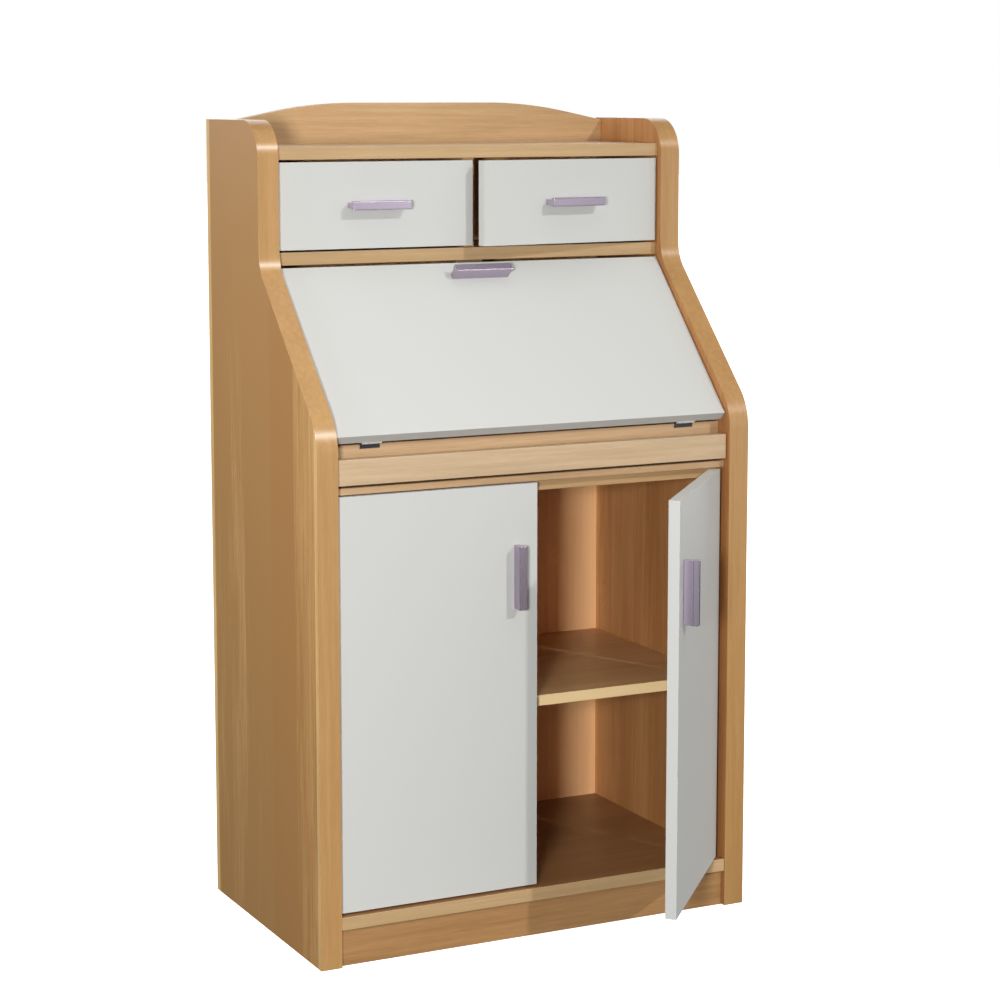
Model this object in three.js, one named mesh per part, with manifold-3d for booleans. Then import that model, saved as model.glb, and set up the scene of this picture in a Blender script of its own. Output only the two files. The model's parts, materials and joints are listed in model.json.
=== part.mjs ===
// Secretary desk: beech carcass, two upper doors, drop front with pull-out support, lower cabinet.
// Millimetres, +Z up. The back plane is y = 0, the front looks along -Y, the floor is z = 0.
import * as THREE from 'three';
import { mergeVertices } from 'three/addons/utils/BufferGeometryUtils.js';
import Module from 'manifold-3d';

const wasm = await Module();
wasm.setup();

// Driving dimensions. "F" names are distances in front of the back plane (y = -F).
const WIDTH = 690;
const HEIGHT = 1180;
const SIDE_T = 32;
const BOARD_T = 19;
const DOOR_T = 16;
const BACK_T = 8;
const SIDE_DEPTH_LOW_F = 418;
const SIDE_DEPTH_HIGH_F = 209;
const SLANT_TOP_Z = 971;
const SLANT_LOW_Z = 758.5;
const TOP_ROUND_R = 55;
const UPPER_KINK_R = 60;
const LOWER_KINK_R = 80;
const IN_X = WIDTH / 2 - SIDE_T;

const BACK_FRONT_F = 10;
const TOP_BOARD_Z = 1123.5;
const TOP_BOARD_F = 198;
const GALLERY_T = 18;
const GALLERY_PEAK_Z = 1204;
const GALLERY_FLAT_HALF = 110;
const GALLERY_BEND_HALF = 250;
const GALLERY_SLOPE = 0.205;
const UPPER_FLOOR_Z = 972.5;
const UPPER_FLOOR_F = 194;
const PARTITION_F = 180.5;
const DESK_TOP_Z = 735.5;
const DESK_F = 385;
const GUIDE_BOARD_Z = 668.5;
const GUIDE_BOARD_T = 10;
const GUIDE_BOARD_F = 402.5;
const CABINET_TOP_T = 16;
const CABINET_TOP_F = 388.5;
const SHELF_TOP_Z = 351;
const SHELF_T = 16;
const SHELF_F = 389;
const BOTTOM_Z = 53.5;
const BOTTOM_F = 417;
const PLINTH_F = 410.5;
const PLINTH_T = 16;

const UPPER_DOOR = { frontF: 198, z0: 994.5, z1: 1120 };
const LOWER_DOOR = { frontF: 408, z0: 75.5, z1: 667 };
const DOOR_SIDE_GAP = 1.5;
const DOOR_W = IN_X - 2 * DOOR_SIDE_GAP;
const HINGE_AXIS_X = 308;
const HINGE_AXIS_AHEAD = 10;
const UPPER_RIGHT_ANGLE = 6;
const LOWER_RIGHT_ANGLE = 48.5;

const CUP_R = 17.3;
const CUP_BORE_R = 17.7;
const CUP_DEPTH = 11.5;
const CUP_EDGE = 22.5;
const UPPER_CUP_INSET = 31;
const LOWER_CUP_INSET = 90;

const HANDLE_LEN = 92;
const HANDLE_OUT = 22;
const HANDLE_WEB_T = 8;
const HANDLE_LIP_H = 12.6;
const HANDLE_LIP_P = 14;
const LOWER_HANDLE_EDGE = 33;
const LOWER_HANDLE_Z = 534;
const FLAP_HANDLE_UP = 275.6;
const HANDLE_SCREW_SPACING = 64;
const SCREW_BORE_R = 2.2;

const FLAP_TILT = 46.4;
const FLAP_LEN = 302.6;
const FLAP_HALF_W = 311;
const PIVOT_F = 391.4;
const PIVOT_Z = 738.7;
const FLAP_EDGE_BACK = 2.5;
const FLAP_FACE_DROP = 3.2;
const FLAP_HINGE_X = 252;
const FLAP_HINGE_W = 30;
const KNUCKLE_R = 2.7;
const PIN_R = 1.15;
const PIN_BORE_R = 1.25;
const LEAF_T = 1.2;
const KNUCKLE_MID = 10;

const PULLOUT = { frontF: 411, frontT: 16, z0: 682.5, z1: 718.8, halfW: 311.5 };
const SLIDE_BOARD = { halfW: 307, f0: 45, z0: 692, t: 16 };
const RUNNER = { t: 12, groove: 8, z0: 685, z1: 715, f0: 12, f1: 384, play: 0.5 };
const CLEAT = { depth: 12, h: 6, halfW: 45 };
const STOP_BLOCK = { f0: 290, f1: 305, z0: 709.5, halfW: 40 };

const SHELF_PIN = { r: 2.4, boreR: 2.6, inHole: 9, out: 8.5, holeDepth: 10.5 };
const PIN_ROWS_F = [37, 350];
const PIN_HOLE_LEVELS = [-96, -64, -32, 0, 32, 64, 96];
const TOUCH = 0.3;

const BEECH = { color: 0xc79c66, roughness: 0.5, metalness: 0 };
const WHITE = { color: 0xe4e2de, roughness: 0.42, metalness: 0 };
const STEEL = { color: 0xb8b8bc, roughness: 0.35, metalness: 1 };
const HANDLE_METAL = { color: 0xa79db0, roughness: 0.35, metalness: 0.9 };
const DARK_PLASTIC = { color: 0x8a7f70, roughness: 0.6, metalness: 0 };

const AXIS_X = new THREE.Vector3(1, 0, 0);
const AXIS_Y = new THREE.Vector3(0, 1, 0);
const AXIS_Z = new THREE.Vector3(0, 0, 1);
const desk = new THREE.Group();

// ---------- geometry helpers ----------

function boxAt(x0, x1, f0, f1, z0, z1) {
  const g = new THREE.BoxGeometry(x1 - x0, f1 - f0, z1 - z0);
  g.translate((x0 + x1) / 2, -(f0 + f1) / 2, (z0 + z1) / 2);
  return g;
}

function rodAlong(axis, r, from, to, centre, segments = 20) {
  const g = new THREE.CylinderGeometry(r, r, to - from, segments);
  if (axis === 'x') g.rotateZ(-Math.PI / 2);
  if (axis === 'z') g.rotateX(Math.PI / 2);
  const mid = (from + to) / 2;
  g.translate(
    axis === 'x' ? mid : centre[0],
    axis === 'y' ? mid : centre[1],
    axis === 'z' ? mid : centre[2],
  );
  return g;
}

function toSolid(geometry) {
  const g = geometry.clone();
  g.deleteAttribute('normal');
  g.deleteAttribute('uv');
  const m = mergeVertices(g, 1e-5);
  return new wasm.Manifold(new wasm.Mesh({
    numProp: 3,
    vertProperties: new Float32Array(m.attributes.position.array),
    triVerts: new Uint32Array(m.index.array),
  }));
}

function toGeometry(solid) {
  const mesh = solid.getMesh();
  const g = new THREE.BufferGeometry();
  g.setAttribute('position', new THREE.BufferAttribute(new Float32Array(mesh.vertProperties), 3));
  g.setIndex(new THREE.BufferAttribute(new Uint32Array(mesh.triVerts), 1));
  g.computeVertexNormals();
  return g;
}

function joined(geometries) {
  return toGeometry(geometries.map(toSolid).reduce((a, b) => a.add(b)));
}

function cut(geometry, tools) {
  return toGeometry(tools.map(toSolid).reduce((a, b) => a.subtract(b), toSolid(geometry)));
}

function piece(name, geometry, finish, parent = desk) {
  const mesh = new THREE.Mesh(geometry, new THREE.MeshStandardMaterial(finish));
  mesh.name = name;
  parent.add(mesh);
  return mesh;
}

function board(name, x0, x1, f0, f1, z0, z1, finish = BEECH) {
  return piece(name, boxAt(x0, x1, f0, f1, z0, z1), finish);
}

// ---------- side panels ----------

function sideOutline() {
  // Drawn in (y, z): the back edge at y = 0, the front at negative y.
  const slant = Math.atan2(SIDE_DEPTH_LOW_F - SIDE_DEPTH_HIGH_F, SLANT_TOP_Z - SLANT_LOW_Z);
  const upperT = UPPER_KINK_R * Math.tan(slant / 2);
  const lowerT = LOWER_KINK_R * Math.tan(slant / 2);
  const s = new THREE.Shape();
  s.moveTo(0, 0);
  s.lineTo(0, HEIGHT);
  s.lineTo(-(SIDE_DEPTH_HIGH_F - TOP_ROUND_R), HEIGHT);
  s.absarc(-(SIDE_DEPTH_HIGH_F - TOP_ROUND_R), HEIGHT - TOP_ROUND_R, TOP_ROUND_R,
    Math.PI / 2, Math.PI, false);
  s.lineTo(-SIDE_DEPTH_HIGH_F, SLANT_TOP_Z + upperT);
  s.absarc(-(SIDE_DEPTH_HIGH_F + UPPER_KINK_R), SLANT_TOP_Z + upperT, UPPER_KINK_R,
    0, -slant, true);
  const lowStartZ = SLANT_LOW_Z - lowerT;
  s.absarc(-(SIDE_DEPTH_LOW_F - LOWER_KINK_R), lowStartZ, LOWER_KINK_R,
    Math.PI - slant, Math.PI, false);
  s.lineTo(-SIDE_DEPTH_LOW_F, 0);
  s.closePath();
  return s;
}

function sidePanel(name, side) {
  const g = new THREE.ExtrudeGeometry(sideOutline(), {
    depth: SIDE_T, bevelEnabled: false, curveSegments: 12,
  });
  g.applyMatrix4(new THREE.Matrix4().makeBasis(AXIS_Y, AXIS_Z, AXIS_X));
  g.translate(side > 0 ? IN_X : -IN_X - SIDE_T, 0, 0);
  const pinZ = SHELF_TOP_Z - SHELF_T - SHELF_PIN.r - 0.1;
  const holes = PIN_ROWS_F.flatMap((f) => PIN_HOLE_LEVELS.map((dz) => rodAlong('x', SHELF_PIN.boreR,
    Math.min(side * (IN_X - 1), side * (IN_X + SHELF_PIN.holeDepth)),
    Math.max(side * (IN_X - 1), side * (IN_X + SHELF_PIN.holeDepth)),
    [0, -f, pinZ + dz], 12)));
  piece(name, cut(g, holes), BEECH);
}

// ---------- boards of the carcass ----------

function galleryBoard() {
  const base = TOP_BOARD_Z;
  const bendR = (GALLERY_BEND_HALF - GALLERY_FLAT_HALF) / Math.sin(Math.atan(GALLERY_SLOPE));
  const bend = Math.atan(GALLERY_SLOPE);
  const bendDrop = bendR * (1 - Math.cos(bend));
  const endZ = GALLERY_PEAK_Z - bendDrop - GALLERY_SLOPE * (IN_X - GALLERY_BEND_HALF);
  const s = new THREE.Shape();
  s.moveTo(-IN_X, base);
  s.lineTo(IN_X, base);
  s.lineTo(IN_X, endZ);
  s.absarc(GALLERY_FLAT_HALF, GALLERY_PEAK_Z - bendR, bendR, Math.PI / 2 - bend, Math.PI / 2, false);
  s.absarc(-GALLERY_FLAT_HALF, GALLERY_PEAK_Z - bendR, bendR, Math.PI / 2, Math.PI / 2 + bend, false);
  s.lineTo(-IN_X, endZ);
  s.closePath();
  const g = new THREE.ExtrudeGeometry(s, { depth: GALLERY_T, bevelEnabled: false, curveSegments: 14 });
  g.rotateX(Math.PI / 2);
  piece('gallery_board', g, BEECH);
}

function carcassBoards() {
  board('top_board', -IN_X, IN_X, GALLERY_T, TOP_BOARD_F, TOP_BOARD_Z, TOP_BOARD_Z + BOARD_T);
  galleryBoard();
  board('upper_partition', -BOARD_T / 2, BOARD_T / 2, BACK_FRONT_F, PARTITION_F,
    UPPER_FLOOR_Z + BOARD_T, TOP_BOARD_Z);
  board('upper_floor_board', -IN_X, IN_X, BACK_FRONT_F, UPPER_FLOOR_F,
    UPPER_FLOOR_Z, UPPER_FLOOR_Z + BOARD_T);
  board('desk_board', -IN_X, IN_X, BACK_FRONT_F, DESK_F, DESK_TOP_Z - BOARD_T, DESK_TOP_Z);
  board('pullout_guide_board', -IN_X, IN_X, BACK_FRONT_F, GUIDE_BOARD_F,
    GUIDE_BOARD_Z, GUIDE_BOARD_Z + GUIDE_BOARD_T);
  board('cabinet_top_board', -IN_X, IN_X, BACK_FRONT_F, CABINET_TOP_F,
    GUIDE_BOARD_Z - CABINET_TOP_T, GUIDE_BOARD_Z);
  board('cabinet_shelf', -IN_X + 0.5, IN_X - 0.5, BACK_FRONT_F + 1, SHELF_F,
    SHELF_TOP_Z - SHELF_T, SHELF_TOP_Z);
  board('bottom_board', -IN_X, IN_X, BACK_FRONT_F, BOTTOM_F, BOTTOM_Z, BOTTOM_Z + BOARD_T);
  board('plinth_front', -IN_X, IN_X, PLINTH_F - PLINTH_T, PLINTH_F, 0, BOTTOM_Z);
  board('plinth_rear', -IN_X, IN_X, 0, PLINTH_T, 0, BOTTOM_Z);
  const split = DESK_TOP_Z - BOARD_T / 2;
  const backF = BACK_FRONT_F - BACK_T;
  board('back_panel_lower', -IN_X, IN_X, backF, BACK_FRONT_F, BOTTOM_Z, split);
  board('back_panel_upper', -IN_X, IN_X, backF, BACK_FRONT_F, split, TOP_BOARD_Z);
}

function shelfPins() {
  const z = SHELF_TOP_Z - SHELF_T - SHELF_PIN.r - 0.1;
  const tip = 0.6;
  const profile = [
    [0, -SHELF_PIN.inHole], [SHELF_PIN.r - tip, -SHELF_PIN.inHole],
    [SHELF_PIN.r, -SHELF_PIN.inHole + tip], [SHELF_PIN.r, SHELF_PIN.out - tip],
    [SHELF_PIN.r - tip, SHELF_PIN.out], [0, SHELF_PIN.out],
  ].map(([r, h]) => new THREE.Vector2(r, h));
  for (const side of [-1, 1]) {
    PIN_ROWS_F.forEach((f, i) => {
      const g = new THREE.LatheGeometry(profile, 14);
      g.rotateZ(side * Math.PI / 2);
      g.translate(side * IN_X, -f, z);
      piece(`shelf_pin_${side < 0 ? 'left' : 'right'}_${i ? 'front' : 'back'}`, g, STEEL);
    });
  }
}

// ---------- handles ----------

// T-section bar along X: the web stands on the face, the wider lip is at its outer end, at -Y.
function handleBar() {
  const web = HANDLE_WEB_T / 2;
  const lip = HANDLE_LIP_H / 2;
  const soft = 0.8;
  const s = new THREE.Shape();
  [
    [TOUCH, -web], [HANDLE_LIP_P, -web], [HANDLE_LIP_P, -lip + soft], [HANDLE_LIP_P + soft, -lip],
    [HANDLE_OUT - soft, -lip], [HANDLE_OUT, -lip + soft], [HANDLE_OUT, lip - soft],
    [HANDLE_OUT - soft, lip], [HANDLE_LIP_P + soft, lip], [HANDLE_LIP_P, lip - soft],
    [HANDLE_LIP_P, web], [TOUCH, web],
  ].forEach(([p, h], i) => (i ? s.lineTo(-p, h) : s.moveTo(-p, h)));
  s.closePath();
  const g = new THREE.ExtrudeGeometry(s, { depth: HANDLE_LEN, bevelEnabled: false });
  g.applyMatrix4(new THREE.Matrix4().makeBasis(AXIS_Y, AXIS_Z, AXIS_X));
  g.translate(-HANDLE_LEN / 2, 0, 0);
  return g;
}

// ---------- cup hinges ----------

// Drawn for a right-hand door in the closed position. F is the door's inner face.
function hingeCup(name, innerF, z, side, parent) {
  const x = HINGE_AXIS_X + 3.5 - CUP_EDGE;
  const wall = 1.2;
  const flange = 1.2;
  const earZ = 26;
  const outer = rodAlong('y', CUP_R, -innerF - CUP_DEPTH, -innerF + TOUCH + flange, [x, 0, z], 28);
  const inner = rodAlong('y', CUP_R - wall, -innerF - CUP_DEPTH + wall, -innerF + 3, [x, 0, z], 28);
  const plate = boxAt(x - 8, x + 12, innerF - TOUCH - flange, innerF - TOUCH, z - earZ, z + earZ);
  const solid = toSolid(outer).add(toSolid(plate)).subtract(toSolid(inner));
  const g = toGeometry(solid);
  if (side < 0) mirrorX(g);
  piece(name, g, STEEL, parent);
}

function hingeArm(name, innerF, z, side) {
  const wing = boxAt(IN_X - 2.5, IN_X, innerF - 62, innerF - 42, z - 25, z + 25);
  const base = boxAt(IN_X - 9, IN_X, innerF - 78, innerF - 30, z - 8, z + 8);
  const arm = boxAt(IN_X - 15, IN_X - 8, innerF - 74, innerF - 12, z - 6, z + 6);
  const nose = boxAt(IN_X - 27, IN_X - 8, innerF - 22, innerF - 12, z - 6, z + 6);
  const tip = boxAt(IN_X - 27, IN_X - 18, innerF - 22, innerF - 4, z - 6, z + 6);
  const g = joined([wing, base, arm, nose, tip]);
  if (side < 0) mirrorX(g);
  piece(name, g, STEEL);
}

function mirrorX(g) {
  g.scale(-1, 1, 1);
  const index = g.index.array;
  for (let i = 0; i < index.length; i += 3) {
    [index[i], index[i + 2]] = [index[i + 2], index[i]];
  }
  g.computeVertexNormals();
}

// ---------- doors ----------

// Everything that swings with a door is placed closed in a group turned about the hinge axis.
function doorGroup(side, frontF, angle) {
  const turn = new THREE.Group();
  const axisY = -(frontF + HINGE_AXIS_AHEAD);
  const rad = side * THREE.MathUtils.degToRad(angle);
  turn.rotation.z = rad;
  const axis = new THREE.Vector3(side * HINGE_AXIS_X, axisY, 0);
  turn.position.copy(axis).sub(axis.clone().applyAxisAngle(AXIS_Z, rad));
  desk.add(turn);
  return turn;
}

function door(name, side, spec, angle, cupInset, handle) {
  const turn = doorGroup(side, spec.frontF, angle);
  const outerX = IN_X - DOOR_SIDE_GAP;
  const innerF = spec.frontF - DOOR_T;
  const panel = boxAt(outerX - DOOR_W, outerX, innerF, spec.frontF, spec.z0, spec.z1);
  const cupX = outerX - CUP_EDGE;
  const cupZ = [spec.z0 + cupInset, spec.z1 - cupInset];
  const bores = cupZ.map((z) => rodAlong('y', CUP_BORE_R, -innerF - CUP_DEPTH - 0.5, -innerF + 1,
    [cupX, 0, z], 28));
  const half = HANDLE_SCREW_SPACING / 2;
  const screwBores = [-half, half].map((d) => rodAlong('y', SCREW_BORE_R, -spec.frontF - 1, -innerF + 1,
    [handle.x + (handle.upright ? 0 : d), 0, handle.z + (handle.upright ? d : 0)], 12));
  const g = cut(panel, [...bores, ...screwBores]);
  if (side < 0) mirrorX(g);
  piece(`${name}_door`, g, WHITE, turn);

  const bar = handleBar();
  if (handle.upright) bar.rotateY(Math.PI / 2);
  bar.translate(side * handle.x, -spec.frontF, handle.z);
  piece(`${name}_handle`, bar, HANDLE_METAL, turn);

  ['lower', 'upper'].forEach((level, i) => {
    hingeCup(`${name}_hinge_cup_${level}`, innerF, cupZ[i], side, turn);
    hingeArm(`${name}_hinge_arm_${level}`, innerF, cupZ[i], side);
  });
}

function doors() {
  const upperHandle = { x: IN_X / 2, z: (UPPER_DOOR.z0 + UPPER_DOOR.z1) / 2, upright: false };
  const lowerHandle = { x: DOOR_SIDE_GAP + LOWER_HANDLE_EDGE, z: LOWER_HANDLE_Z, upright: true };
  door('upper_left', -1, UPPER_DOOR, 0, UPPER_CUP_INSET, upperHandle);
  door('upper_right', 1, UPPER_DOOR, UPPER_RIGHT_ANGLE, UPPER_CUP_INSET, upperHandle);
  door('lower_left', -1, LOWER_DOOR, 0, LOWER_CUP_INSET, lowerHandle);
  door('lower_right', 1, LOWER_DOOR, LOWER_RIGHT_ANGLE, LOWER_CUP_INSET, lowerHandle);
}

// ---------- drop front (flap) ----------

// The group's own frame is the open flap's: origin on the pin, -Y to its free edge, +Z up from
// the writing face. The group is then folded back to the closed position.
function flapGroup() {
  const fold = new THREE.Group();
  fold.position.set(0, -PIVOT_F, PIVOT_Z);
  fold.rotation.x = -THREE.MathUtils.degToRad(180 - FLAP_TILT);
  desk.add(fold);
  return fold;
}

function flap() {
  const fold = flapGroup();
  const top = -FLAP_FACE_DROP;
  const panel = boxAt(-FLAP_HALF_W, FLAP_HALF_W, -FLAP_EDGE_BACK, -FLAP_EDGE_BACK + FLAP_LEN,
    top - DOOR_T, top);
  const handleF = FLAP_HANDLE_UP - FLAP_EDGE_BACK;
  const screwBores = [-1, 1].map((s) => rodAlong('z', SCREW_BORE_R, top - DOOR_T - 1, top + 1,
    [s * HANDLE_SCREW_SPACING / 2, -handleF, 0], 12));
  piece('flap', cut(panel, screwBores), WHITE, fold);

  const bar = handleBar();
  bar.rotateX(Math.PI / 2);
  bar.translate(0, -handleF, top - DOOR_T);
  piece('flap_handle', bar, HANDLE_METAL, fold);

  const strike = boxAt(-20, 20, FLAP_LEN - FLAP_EDGE_BACK - 16, FLAP_LEN - FLAP_EDGE_BACK - 4,
    top + TOUCH, top + TOUCH + 1.5);
  piece('flap_strike_plate', strike, STEEL, fold);

  [-1, 1].forEach((side) => flapHinge(side, fold));
}

function flapHinge(side, fold) {
  const where = side < 0 ? 'left' : 'right';
  const cx = side * FLAP_HINGE_X;
  const x0 = cx - FLAP_HINGE_W / 2;
  const x1 = cx + FLAP_HINGE_W / 2;
  const m0 = cx - KNUCKLE_MID / 2;
  const m1 = cx + KNUCKLE_MID / 2;
  const play = 0.3;

  const plate = boxAt(x0, x1, DESK_F + TOUCH, DESK_F + TOUCH + LEAF_T, DESK_TOP_Z - 6, PIVOT_Z - 1.3);
  const tab = boxAt(x0, x1, DESK_F + TOUCH, PIVOT_F - 1.8, PIVOT_Z - 1.3 - LEAF_T, PIVOT_Z - 1.3);
  const barrel = rodAlong('x', KNUCKLE_R, x0, x1, [0, -PIVOT_F, PIVOT_Z], 20);
  const room = rodAlong('x', KNUCKLE_R + play, m0 - play, m1 + play, [0, -PIVOT_F, PIVOT_Z], 20);
  const bore = rodAlong('x', PIN_BORE_R, x0 - 1, x1 + 1, [0, -PIVOT_F, PIVOT_Z], 16);
  const fixed = [plate, tab, barrel].map(toSolid).reduce((a, b) => a.add(b));
  piece(`flap_hinge_fixed_leaf_${where}`,
    toGeometry(fixed.subtract(toSolid(room)).subtract(toSolid(bore))), STEEL);

  const leafZ = -FLAP_FACE_DROP + TOUCH;
  const leaf = boxAt(x0, x1, KNUCKLE_R + 0.8, 18, leafZ, leafZ + LEAF_T);
  const neck = boxAt(m0, m1, 0, KNUCKLE_R + 2, leafZ, leafZ + LEAF_T);
  const mid = rodAlong('x', KNUCKLE_R, m0, m1, [0, 0, 0], 20);
  const hole = rodAlong('x', PIN_BORE_R, x0 - 1, x1 + 1, [0, 0, 0], 16);
  const moving = [leaf, neck, mid].map(toSolid).reduce((a, b) => a.add(b));
  piece(`flap_hinge_moving_leaf_${where}`, toGeometry(moving.subtract(toSolid(hole))), STEEL, fold);

  piece(`flap_hinge_pin_${where}`,
    rodAlong('x', PIN_R, x0 + 0.2, x1 - 0.2, [0, -PIVOT_F, PIVOT_Z], 14), STEEL);
}

function flapCatch() {
  const body = boxAt(-22, 22, 150, 182, UPPER_FLOOR_Z - 14, UPPER_FLOOR_Z);
  const slot = boxAt(-17, 17, 179, 184, UPPER_FLOOR_Z - 10, UPPER_FLOOR_Z - 4);
  piece('flap_magnet_catch', cut(body, [slot]), DARK_PLASTIC);
}

// ---------- pull-out support ----------

function pullout() {
  const p = PULLOUT;
  const backF = p.frontF - p.frontT;
  board('pullout_front', -p.halfW, p.halfW, backF, p.frontF, p.z0, p.z1);
  const b = SLIDE_BOARD;
  const slab = boxAt(-b.halfW, b.halfW, b.f0, backF - TOUCH, b.z0, b.z0 + b.t);
  const cleat = boxAt(-CLEAT.halfW, CLEAT.halfW, b.f0, b.f0 + CLEAT.depth, b.z0 + 1, b.z0 + b.t + CLEAT.h);
  piece('pullout_board', joined([slab, cleat]), BEECH);
  const stop = STOP_BLOCK;
  board('pullout_stop', -stop.halfW, stop.halfW, stop.f0, stop.f1, stop.z0,
    DESK_TOP_Z - BOARD_T, DARK_PLASTIC);
  const r = RUNNER;
  for (const side of [-1, 1]) {
    const rail = boxAt(IN_X - r.t, IN_X, r.f0, r.f1, r.z0, r.z1);
    const groove = boxAt(IN_X - r.t - 1, IN_X - r.t + r.groove, r.f0 - 1, r.f1 + 1,
      b.z0 - r.play, b.z0 + b.t + r.play);
    const g = cut(rail, [groove]);
    if (side < 0) mirrorX(g);
    piece(`pullout_runner_${side < 0 ? 'left' : 'right'}`, g, DARK_PLASTIC);
  }
}

sidePanel('side_panel_left', -1);
sidePanel('side_panel_right', 1);
carcassBoards();
shelfPins();
doors();
flap();
flapCatch();
pullout();

export default desk;
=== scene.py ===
"""Looks of the secretary desk: beech carcass, white lacquered fronts, satin lilac-grey handles."""

import json
import math

import bmesh
import bpy
from mathutils import Matrix, Vector

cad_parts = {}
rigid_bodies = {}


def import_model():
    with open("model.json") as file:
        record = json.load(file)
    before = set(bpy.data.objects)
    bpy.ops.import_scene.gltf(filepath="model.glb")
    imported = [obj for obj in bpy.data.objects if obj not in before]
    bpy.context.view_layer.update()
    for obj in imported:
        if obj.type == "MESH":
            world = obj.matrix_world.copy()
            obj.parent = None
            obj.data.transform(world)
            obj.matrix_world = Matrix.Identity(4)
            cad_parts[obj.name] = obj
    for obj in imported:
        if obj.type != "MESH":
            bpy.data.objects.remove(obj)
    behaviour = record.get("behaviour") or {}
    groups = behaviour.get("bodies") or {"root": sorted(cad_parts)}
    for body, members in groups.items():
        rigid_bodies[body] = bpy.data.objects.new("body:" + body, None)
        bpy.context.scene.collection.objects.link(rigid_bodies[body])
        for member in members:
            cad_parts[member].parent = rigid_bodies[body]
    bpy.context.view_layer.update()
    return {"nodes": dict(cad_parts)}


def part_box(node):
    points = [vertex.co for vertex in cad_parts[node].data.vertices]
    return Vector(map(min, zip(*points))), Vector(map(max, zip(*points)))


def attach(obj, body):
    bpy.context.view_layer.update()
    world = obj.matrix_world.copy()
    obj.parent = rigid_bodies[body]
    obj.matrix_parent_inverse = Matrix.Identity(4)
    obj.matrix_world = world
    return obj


for leftover in list(bpy.data.objects):
    bpy.data.objects.remove(leftover)

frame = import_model()
nodes = frame["nodes"]

AXES = "XYZ"
SHARP = math.radians(35)
DESK_MIDDLE = Vector((0, -0.2, 0.6))
BOARD_EDGE = 0.0009
FRONT_EDGE = 0.0011
METAL_EDGE = 0.0004
SMALL_METAL_EDGE = 0.00025
BEVEL_SEGMENTS = 3
WELD_GAP = 1e-6
FLAT_ANGLE = math.radians(0.4)
KNUCKLE_HIGHLIGHT_REACH = 0.0031

# Camera: position in metres and angles in degrees, in the row frame.
CAMERA_AT = (-1.6467, -3.5897, 1.2162)
CAMERA_YAW = 26.49
CAMERA_PITCH = 7.53
CAMERA_LENS = 91.37
CAMERA_SHIFT = -0.07

# Lights: azimuth 0 is straight in front of the desk and positive to its right, in degrees.
KEY = {"azimuth": 25, "elevation": 32, "power": 1.08, "spread": 1.5}
TOP_FILL = {"azimuth": -30, "elevation": 78, "power": 0.8, "spread": 60}
RIGHT_FILL = {"azimuth": 75, "elevation": 12, "power": 0.9, "spread": 70}
BACK_FILL = {"azimuth": 168, "elevation": 24, "power": 1.3, "spread": 60}
MAIN_BOX = {"at": (-2.16, -3.52, 1.15), "power": 110, "size": 0.45}
FRONT_BOX = {"at": (1.9, -3.7, 0.78), "power": 10, "size": 1.5}
LEFT_BOX = {"at": (-1.7, -0.25, 1.24), "power": 10.5, "size": 0.5}
BACKDROP_LEFT = {"at": (-2.0, 2.6, 2.0), "power": 18, "size": 1.6}
BACKDROP_RIGHT = {"at": (2.7, 1.7, 0.85), "power": 20, "size": 1.6}
ROOM_LIGHT = 0.1
FLOOR_GLOW = 0.8

# Wood grain: noise frequency per metre (along the grain, across it) and share of the tone.
BROAD = (1.3, 11.0)
BROAD_SHARE = 0.6
STREAK = (5.0, 170.0)
STREAK_SHARE = 0.5
FIBRE = (45.0, 1300.0)
FIBRE_SHARE = 0.35
TONE_MIDDLE = 0.725
TONE_CONTRAST = 1.9
GRAIN_ROUGHNESS = 0.6
FIBRE_BUMP = 0.12
FIBRE_DEPTH = 0.0003
# Colour that multiplies the reddest staves of a glued panel.
STAVE_TINT = (0.97, 0.80, 0.66)

# Surface ripple of lacquer and plastic: noise frequency, bump strength and depth.
LACQUER_RIPPLE = (260.0, 0.03, 0.0002)
PLASTIC_RIPPLE = (900.0, 0.1, 0.0002)
LACQUER_SPECULAR = 0.45

FLOOR_SIZE = 60
FLOOR_COLOUR = (0.93, 0.93, 0.93, 1)
FLOOR_ROUGHNESS = 0.9
ROOM_COLOUR = (0.97, 0.98, 1.0, 1)
WHITE = (1, 1, 1, 1)
SENSOR_WIDTH = 36
CAMERA_FAR = 100


# ---------- shader helpers ----------


def new_material(name):
    mat = bpy.data.materials.new(name)
    mat.use_nodes = True
    tree = mat.node_tree
    return mat, tree, tree.nodes["Principled BSDF"]


def maths(tree, operation, a, b):
    node = tree.nodes.new("ShaderNodeMath")
    node.operation = operation
    for socket, value in zip(node.inputs, (a, b)):
        if isinstance(value, (int, float)):
            socket.default_value = value
        else:
            tree.links.new(value, socket)
    return node.outputs[0]


def stretched_noise(tree, coords, scale, detail=2.0, roughness=0.5):
    mapping = tree.nodes.new("ShaderNodeMapping")
    mapping.inputs["Scale"].default_value = scale
    tree.links.new(coords, mapping.inputs["Vector"])
    noise = tree.nodes.new("ShaderNodeTexNoise")
    noise.inputs["Scale"].default_value = 1.0
    noise.inputs["Detail"].default_value = detail
    noise.inputs["Roughness"].default_value = roughness
    tree.links.new(mapping.outputs[0], noise.inputs["Vector"])
    return noise.outputs["Fac"]


def along_grain(grain, along, across):
    return tuple(along if axis == grain else across for axis in AXES)


def add_bump(tree, shader, height, strength, distance):
    bump = tree.nodes.new("ShaderNodeBump")
    bump.inputs["Strength"].default_value = strength
    bump.inputs["Distance"].default_value = distance
    tree.links.new(height, bump.inputs["Height"])
    tree.links.new(bump.outputs[0], shader.inputs["Normal"])


def add_ripple(tree, shader, coords, frequency, strength, depth):
    add_bump(tree, shader, stretched_noise(tree, coords, (frequency,) * 3, 1.0), strength, depth)


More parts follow.
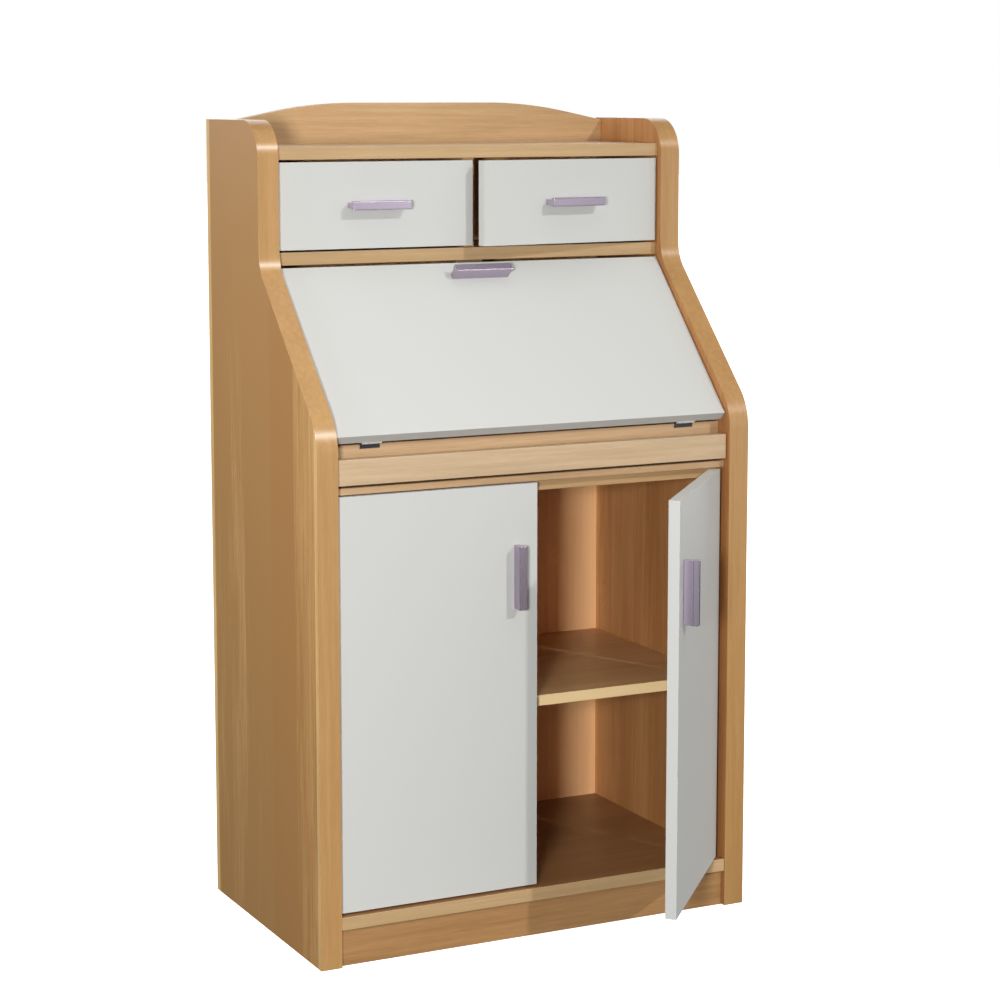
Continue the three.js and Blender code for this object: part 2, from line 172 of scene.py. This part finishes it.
def beech(name, dark, light, grain, stave_axis=None, stave_count=9.0, stave_gain=0.5, gloss=0.42):
    """Straight-grained beech. Staves are the glued strips that differ a little in tone."""
    mat, tree, shader = new_material(name)
    coords = tree.nodes.new("ShaderNodeTexCoord").outputs["Object"]
    broad = stretched_noise(tree, coords, along_grain(grain, *BROAD), 2.0)
    streak = stretched_noise(tree, coords, along_grain(grain, *STREAK), 3.0, GRAIN_ROUGHNESS)
    fibre = stretched_noise(tree, coords, along_grain(grain, *FIBRE), 2.0, GRAIN_ROUGHNESS)
    tone = maths(
        tree,
        "ADD",
        maths(tree, "MULTIPLY", broad, BROAD_SHARE),
        maths(tree, "MULTIPLY", streak, STREAK_SHARE),
    )
    tone = maths(tree, "ADD", tone, maths(tree, "MULTIPLY", fibre, FIBRE_SHARE))
    middle = TONE_MIDDLE
    redness = None
    if stave_axis:
        split = tree.nodes.new("ShaderNodeSeparateXYZ")
        tree.links.new(coords, split.inputs[0])
        cells = tree.nodes.new("ShaderNodeTexVoronoi")
        cells.voronoi_dimensions = "1D"
        cells.inputs["Scale"].default_value = stave_count
        tree.links.new(split.outputs[AXES.index(stave_axis)], cells.inputs["W"])
        grey = tree.nodes.new("ShaderNodeSeparateColor")
        tree.links.new(cells.outputs["Color"], grey.inputs[0])
        tone = maths(tree, "ADD", tone, maths(tree, "MULTIPLY", grey.outputs[0], stave_gain))
        middle += stave_gain / 2
        redness = grey.outputs[1]
    ramp = tree.nodes.new("ShaderNodeValToRGB")
    ramp.color_ramp.elements[0].position = 0.0
    ramp.color_ramp.elements[0].color = (*dark, 1)
    ramp.color_ramp.elements[1].position = 1.0
    ramp.color_ramp.elements[1].color = (*light, 1)
    centred = maths(tree, "SUBTRACT", tone, middle)
    spread = maths(tree, "ADD", maths(tree, "MULTIPLY", centred, TONE_CONTRAST), 0.5)
    tree.links.new(spread, ramp.inputs[0])
    colour = ramp.outputs[0]
    if redness:
        tint = tree.nodes.new("ShaderNodeMixRGB")
        tint.blend_type = "MULTIPLY"
        tint.inputs[2].default_value = (*STAVE_TINT, 1)
        tree.links.new(redness, tint.inputs[0])
        tree.links.new(colour, tint.inputs[1])
        colour = tint.outputs[0]
    tree.links.new(colour, shader.inputs["Base Color"])
    shader.inputs["Roughness"].default_value = gloss
    shader.inputs["Specular IOR Level"].default_value = 0.5
    add_bump(tree, shader, fibre, FIBRE_BUMP, FIBRE_DEPTH)
    return mat


def lacquer(name, colour, roughness):
    mat, tree, shader = new_material(name)
    coords = tree.nodes.new("ShaderNodeTexCoord").outputs["Object"]
    shader.inputs["Base Color"].default_value = (*colour, 1)
    shader.inputs["Roughness"].default_value = roughness
    shader.inputs["Specular IOR Level"].default_value = LACQUER_SPECULAR
    add_ripple(tree, shader, coords, *LACQUER_RIPPLE)
    return mat


def metal(name, colour, roughness, metallic=1.0):
    mat, tree, shader = new_material(name)
    shader.inputs["Base Color"].default_value = (*colour, 1)
    shader.inputs["Metallic"].default_value = metallic
    shader.inputs["Roughness"].default_value = roughness
    return mat


def plastic(name, colour, roughness):
    mat, tree, shader = new_material(name)
    coords = tree.nodes.new("ShaderNodeTexCoord").outputs["Object"]
    shader.inputs["Base Color"].default_value = (*colour, 1)
    shader.inputs["Roughness"].default_value = roughness
    add_ripple(tree, shader, coords, *PLASTIC_RIPPLE)
    return mat


# ---------- materials ----------

side_face = beech("beech_side", (0.40, 0.225, 0.08), (0.80, 0.56, 0.25), "Z", "Y", 10.0, 0.85, 0.42)
# Darker, redder copy of the side beech for the inner faces: painted shade inside the carcass.
side_inner_painted_shade = beech("beech_side_inner_painted_shade", (0.40, 0.185, 0.062), (0.70, 0.38, 0.155), "Z", "Y", 8.0, 0.4, 0.5)
side_band = beech("beech_band", (0.355, 0.18, 0.056), (0.51, 0.30, 0.12), "Z", gloss=0.3)
board_wood = beech("beech_board", (0.38, 0.225, 0.095), (0.61, 0.40, 0.21), "X")
board_band = beech("beech_board_band", (0.38, 0.24, 0.105), (0.56, 0.375, 0.195), "X")
shelf_wood = beech("beech_shelf", (0.42, 0.22, 0.09), (0.66, 0.40, 0.20), "X")
# The shelf's edge band is a real light beech band, made much brighter than the wood as painted light on
# the front edge.
shelf_band_painted_light = beech("beech_shelf_band_painted_light", (0.90, 0.63, 0.31), (1.0, 0.76, 0.42), "X")
# Darker beech on the bottom board: painted shade on the floor of the lower compartment.
bottom_wood_painted_shade = beech("beech_bottom_painted_shade", (0.21, 0.09, 0.03), (0.38, 0.19, 0.075), "X")
strip_wood = beech("beech_strip", (0.40, 0.245, 0.12), (0.64, 0.43, 0.245), "X")
pullout_wood = beech("beech_pullout", (0.44, 0.305, 0.175), (0.65, 0.475, 0.30), "X")
plinth_wood = beech("beech_plinth", (0.26, 0.13, 0.045), (0.49, 0.265, 0.105), "X")
# The back panels keep the real beech grain and staves, raised to nearly full brightness as painted light
# on the interior's back wall.
back_wood_painted_light = beech("beech_back_painted_light", (0.86, 0.48, 0.21), (1.0, 0.68, 0.37), "Z", "X", 9.0, 0.3, 0.5)
upright_wood = beech("beech_upright", (0.44, 0.23, 0.10), (0.66, 0.39, 0.19), "Z")
white = lacquer("white_lacquer", (0.55, 0.552, 0.528), 0.46)
handle_metal = metal("handle_metal", (0.49, 0.42, 0.52), 0.26, 0.92)
nickel = metal("nickel_plate", (0.62, 0.61, 0.60), 0.28)
# Bright knuckle: painted highlight on the hinge barrel.
knuckle_painted_highlight = metal("knuckle_painted_highlight", (0.86, 0.86, 0.88), 0.3, 0.5)
# Near-black hinge leaves: painted shade under the flap.
leaf_painted_shade = metal("leaf_painted_shade", (0.08, 0.078, 0.085), 0.4)
brown_plastic = plastic("brown_plastic", (0.20, 0.125, 0.07), 0.5)


# ---------- CAD pieces: soft edges and materials ----------


def soften(obj, edge):
    """Joins the faces of a CAD piece and rounds its sharp edges."""
    mesh = obj.data
    if "custom_normal" in mesh.attributes:
        mesh.attributes.remove(mesh.attributes["custom_normal"])
    mesh.polygons.foreach_set("use_smooth", [True] * len(mesh.polygons))
    weld = obj.modifiers.new("weld", "WELD")
    weld.merge_threshold = WELD_GAP
    flat = obj.modifiers.new("flat_faces", "DECIMATE")
    flat.decimate_type = "DISSOLVE"
    flat.angle_limit = FLAT_ANGLE
    bevel = obj.modifiers.new("edge", "BEVEL")
    bevel.width = edge
    bevel.segments = BEVEL_SEGMENTS
    bevel.limit_method = "ANGLE"
    bevel.angle_limit = SHARP
    bevel.harden_normals = True
    bevel.use_clamp_overlap = True


def dress(obj, material, edge):
    obj.data.materials.clear()
    obj.data.materials.append(material)
    soften(obj, edge)


def dress_side_panel(obj):
    """The broad faces carry staves, the rim is one edge band, and the inner face gets a darker copy of
    the beech as painted shade.
    """
    dress(obj, side_face, BOARD_EDGE)
    obj.data.materials.append(side_band)
    obj.data.materials.append(side_inner_painted_shade)
    inward = -1 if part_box(obj.name)[0].x > 0 else 1
    for face in obj.data.polygons:
        if abs(face.normal.x) < 0.5:
            face.material_index = 1
        # Inner faces take the darker copy, which is painted shade.
        elif face.normal.x * inward > 0:
            face.material_index = 2


def dress_board(obj, material, band):
    """A board whose front edge has its own edge band."""
    dress(obj, material, BOARD_EDGE)
    obj.data.materials.append(band)
    for face in obj.data.polygons:
        if face.normal.y < -0.5:
            face.material_index = 1


def dress_flap_hinge(obj, pin):
    """Near-black leaves as painted shade, with a bright knuckle round the pin as a painted highlight."""
    dress(obj, leaf_painted_shade, SMALL_METAL_EDGE)
    obj.data.materials.append(knuckle_painted_highlight)
    low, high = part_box(pin)
    axis = (low + high) / 2
    # Faces close to the pin take the painted highlight.
    for face in obj.data.polygons:
        if math.hypot(face.center.y - axis.y, face.center.z - axis.z) < KNUCKLE_HIGHLIGHT_REACH:
            face.material_index = 1


BANDED = {
    "top_board": (board_wood, board_band),
    "upper_floor_board": (board_wood, board_band),
    "cabinet_shelf": (shelf_wood, shelf_band_painted_light),
    "bottom_board": (bottom_wood_painted_shade, board_band),
}
SPECIAL = {
    "desk_board": strip_wood,
    "pullout_guide_board": strip_wood,
    "pullout_front": pullout_wood,
    "upper_partition": upright_wood,
    "plinth_front": plinth_wood,
    "back_panel_upper": back_wood_painted_light,
    "back_panel_lower": back_wood_painted_light,
}

for name, obj in nodes.items():
    if name.startswith("side_panel"):
        dress_side_panel(obj)
    elif name in BANDED:
        dress_board(obj, *BANDED[name])
    elif name in SPECIAL:
        dress(obj, SPECIAL[name], BOARD_EDGE)
    elif name.endswith("_door") or name == "flap":
        dress(obj, white, FRONT_EDGE)
    elif name.endswith("_handle"):
        dress(obj, handle_metal, METAL_EDGE)
    elif name.startswith("flap_hinge_") and "pin" not in name:
        dress_flap_hinge(obj, "flap_hinge_pin_" + name.rsplit("_", 1)[1])
    elif "hinge" in name or "pin_" in name or name == "flap_strike_plate":
        dress(obj, nickel, SMALL_METAL_EDGE)
    elif "runner" in name or name in ("flap_magnet_catch", "pullout_stop"):
        dress(obj, brown_plastic, METAL_EDGE)
    else:
        dress(obj, board_wood, BOARD_EDGE)


# ---------- screws, too small to be CAD pieces ----------

SCREW_R = 0.0033
SCREW_RISE = 0.0006
SCREW_ROUND = 0.0002
CROSS_REACH = 0.0018
CROSS_HALF = 0.00045
SCREW_STEPS = 28
FLAP_FOLD = math.radians(133.6)
LEAF_SCREW_OUT = 0.012
LEAF_FACE_DROP = 0.0017
LEAF_SCREW_SPREAD = 0.0095
WING_SCREW_AHEAD = 0.026
WING_T = 0.0025
WING_SCREW_SPREAD = 0.0175


def screw_mesh():
    """Low round head with a cross recess, standing on z = 0."""
    data = bpy.data.curves.new("screw_head", "CURVE")
    data.dimensions = "2D"
    data.fill_mode = "BOTH"
    data.extrude = SCREW_RISE / 2
    data.bevel_depth = SCREW_ROUND
    data.offset = -SCREW_ROUND
    turns = [2 * math.pi * i / SCREW_STEPS for i in range(SCREW_STEPS)]
    rim = [(SCREW_R * math.cos(t), SCREW_R * math.sin(t)) for t in turns]
    quarter = [(CROSS_HALF, CROSS_REACH), (CROSS_HALF, CROSS_HALF), (CROSS_REACH, CROSS_HALF)]
    cross = []
    for _ in range(4):
        cross += quarter
        quarter = [(y, -x) for x, y in quarter]
    for outline in (rim, cross):
        spline = data.splines.new("POLY")
        spline.points.add(len(outline) - 1)
        for point, (x, y) in zip(spline.points, outline):
            point.co = (x, y, 0, 1)
        spline.use_cyclic_u = True
    source = bpy.data.objects.new("screw_head", data)
    bpy.context.collection.objects.link(source)
    bpy.context.view_layer.update()
    depsgraph = bpy.context.evaluated_depsgraph_get()
    mesh = bpy.data.meshes.new_from_object(source.evaluated_get(depsgraph))
    bpy.data.objects.remove(source)
    mesh.transform(Matrix.Translation((0, 0, SCREW_RISE / 2 + SCREW_ROUND)))
    return mesh


def add_screws(name, head, spots, out, body):
    """Screw heads at the given spots, facing along out, as one piece on a body."""
    combined = bmesh.new()
    for spot in spots:
        copy = head.copy()
        copy.transform(Matrix.Translation(spot) @ out.to_track_quat("Z", "Y").to_matrix().to_4x4())
        combined.from_mesh(copy)
        bpy.data.meshes.remove(copy)
    bmesh.ops.remove_doubles(combined, verts=combined.verts, dist=WELD_GAP)
    mesh = bpy.data.meshes.new(name)
    combined.to_mesh(mesh)
    combined.free()
    mesh.materials.clear()
    mesh.materials.append(nickel)
    obj = bpy.data.objects.new(name, mesh)
    bpy.context.collection.objects.link(obj)
    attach(obj, body)


def add_all_screws():
    head = screw_mesh()
    for name in sorted(nodes):
        if "_hinge_arm_" in name:
            low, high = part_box(name)
            side = 1 if low.x > 0 else -1
            face_x = max(abs(low.x), abs(high.x)) - WING_T
            middle = (low.z + high.z) / 2
            spots = [
                Vector((side * face_x, high.y - WING_SCREW_AHEAD, middle + step * WING_SCREW_SPREAD))
                for step in (-1, 1)
            ]
            out = Vector((-side, 0, 0))
            add_screws(name.replace("arm", "screws"), head, spots, out, "carcass")
    fold = Matrix.Rotation(-FLAP_FOLD, 3, "X")
    for where in ("left", "right"):
        low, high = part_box("flap_hinge_pin_" + where)
        axis = (low + high) / 2
        spots = [
            axis + fold @ Vector((step * LEAF_SCREW_SPREAD, -LEAF_SCREW_OUT, -LEAF_FACE_DROP))
            for step in (-1, 1)
        ]
        out = fold @ Vector((0, 0, 1))
        add_screws("flap_hinge_screws_" + where, head, spots, out, "flap")


add_all_screws()


# ---------- stage, light and camera ----------


def make_floor():
    bpy.ops.mesh.primitive_plane_add(size=FLOOR_SIZE, location=(0, 0, 0))
    floor = bpy.context.object
    floor.name = "floor"
    mat, tree, shader = new_material("pale_floor")
    shader.inputs["Base Color"].default_value = FLOOR_COLOUR
    shader.inputs["Roughness"].default_value = FLOOR_ROUGHNESS
    shader.inputs["Emission Color"].default_value = WHITE
    shader.inputs["Emission Strength"].default_value = FLOOR_GLOW
    floor.data.materials.append(mat)
    floor.visible_diffuse = False
    floor.visible_glossy = False


def make_world():
    world = bpy.data.worlds.new("studio")
    world.use_nodes = True
    bpy.context.scene.world = world
    tree = world.node_tree
    room = tree.nodes["Background"]
    room.inputs[0].default_value = ROOM_COLOUR
    room.inputs[1].default_value = ROOM_LIGHT
    seen = tree.nodes.new("ShaderNodeBackground")
    seen.inputs[0].default_value = WHITE
    mix = tree.nodes.new("ShaderNodeMixShader")
    path = tree.nodes.new("ShaderNodeLightPath")
    tree.links.new(path.outputs["Is Camera Ray"], mix.inputs[0])
    tree.links.new(room.outputs[0], mix.inputs[1])
    tree.links.new(seen.outputs[0], mix.inputs[2])
    tree.links.new(mix.outputs[0], tree.nodes["World Output"].inputs[0])


def direction(azimuth, elevation):
    """Unit vector towards a light; azimuth 0 is straight in front, positive to the right."""
    a = math.radians(azimuth)
    e = math.radians(elevation)
    return Vector((math.sin(a) * math.cos(e), -math.cos(a) * math.cos(e), math.sin(e)))


def add_light(name, kind, power, away, at=DESK_MIDDLE):
    data = bpy.data.lights.new(name, kind)
    data.energy = power
    obj = bpy.data.objects.new(name, data)
    bpy.context.collection.objects.link(obj)
    obj.location = at
    obj.rotation_mode = "QUATERNION"
    obj.rotation_quaternion = away.to_track_quat("Z", "Y")
    obj.visible_camera = False
    return data


def make_lights():
    suns = {"key": KEY, "top_fill": TOP_FILL, "right_fill": RIGHT_FILL, "back_fill": BACK_FILL}
    for name, spec in suns.items():
        away = direction(spec["azimuth"], spec["elevation"])
        add_light(name, "SUN", spec["power"], away).angle = math.radians(spec["spread"])
    boxes = {
        "main_box": MAIN_BOX,
        "front_box": FRONT_BOX,
        "left_box": LEFT_BOX,
        "backdrop_left": BACKDROP_LEFT,
        "backdrop_right": BACKDROP_RIGHT,
    }
    for name, spec in boxes.items():
        at = Vector(spec["at"])
        add_light(name, "AREA", spec["power"], at - DESK_MIDDLE, at).size = spec["size"]
    bpy.data.objects["left_box"].visible_glossy = False


def make_camera():
    data = bpy.data.cameras.new("camera")
    data.sensor_width = SENSOR_WIDTH
    data.lens = CAMERA_LENS
    data.shift_y = CAMERA_SHIFT
    data.clip_end = CAMERA_FAR
    cam = bpy.data.objects.new("camera", data)
    bpy.context.collection.objects.link(cam)
    cam.location = CAMERA_AT
    yaw = math.radians(CAMERA_YAW)
    pitch = math.radians(CAMERA_PITCH)
    cam.rotation_euler = (math.pi / 2 - pitch, 0, -yaw)
    bpy.context.scene.camera = cam


make_floor()
make_world()
make_lights()
make_camera()
bpy.context.scene.view_settings.view_transform = "Standard"
